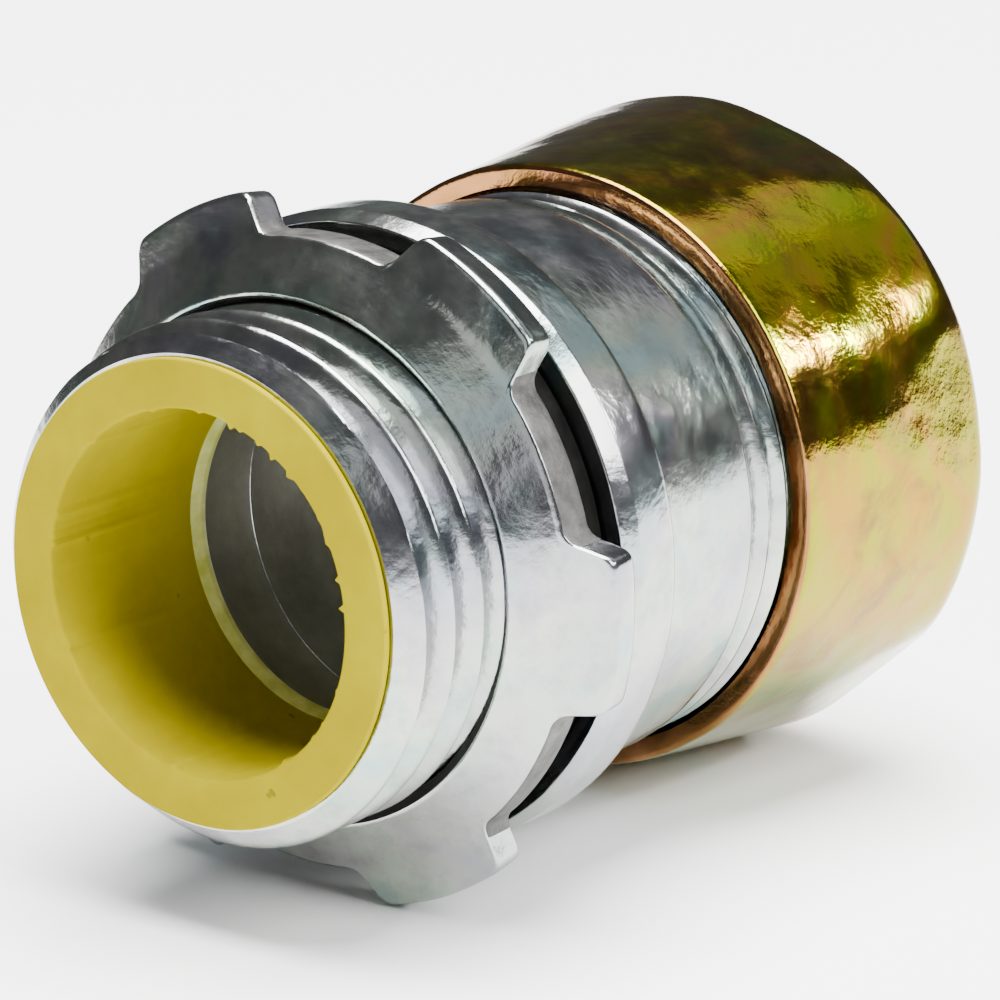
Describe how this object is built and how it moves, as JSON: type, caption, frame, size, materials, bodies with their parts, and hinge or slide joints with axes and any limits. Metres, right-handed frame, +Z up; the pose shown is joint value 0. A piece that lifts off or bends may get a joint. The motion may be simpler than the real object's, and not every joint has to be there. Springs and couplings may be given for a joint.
{
  "type": "conduit compression fitting",
  "caption": "Straight raintight compression connector that joins thin-wall steel conduit to a box: threaded nose with insulated throat, lugged locknut, gold gland nut.",
  "frame": {"origin": "on the fitting's axis, in the plane of the shoulder face that seats on the box wall", "axes": "+Y along the axis from the threaded nose to the compression nut, +Z up"},
  "size_m": [0.0292, 0.0384, 0.0284],
  "materials": {
    "zinc_steel": "clear zinc plating, satin",
    "yellow_polymer": "moulded, satin gloss",
    "black_rubber": "matte",
    "gold_dichromate_steel": "yellow dichromate over zinc, glossy and iridescent",
    "ring_steel": "plain plated",
    "white_nylon": "moulded, matte"
  },
  "bodies": {
    "connector": {"connector_body": "zinc_steel", "insulated_throat": "yellow_polymer"},
    "box_seal": {"box_sealing_ring": "black_rubber"},
    "locknut": {"locknut": "zinc_steel"},
    "gland_stack": {"compression_ring": "ring_steel", "slip_washer": "ring_steel", "sealing_ring": "white_nylon"},
    "compression_nut": {"compression_nut": "gold_dichromate_steel"}
  },
  "joints": [
    {"name": "box_seal_slide", "type": "slide", "parent": "connector", "child": "box_seal", "axis": [0, 1, 0], "range_m": [-0.005, 0]},
    {"name": "locknut_turn", "type": "hinge", "parent": "box_seal", "child": "locknut", "pos_m": [0, 0, 0], "axis": [0, 1, 0], "range_deg": [-990, 0]},
    {"name": "gland_slide", "type": "slide", "parent": "connector", "child": "gland_stack", "axis": [0, 1, 0], "range_m": [-0.0018, 0.0058]},
    {"name": "nut_turn", "type": "hinge", "parent": "gland_stack", "child": "compression_nut", "pos_m": [0, 0, 0], "axis": [0, 1, 0], "range_deg": [-504, 1620]}
  ],
  "couplings": [
    {"joint": "box_seal_slide", "follows": "locknut_turn", "m_per_rad": 0.00028875},
    {"joint": "gland_slide", "follows": "nut_turn", "m_per_rad": 0.00020213}
  ]
}
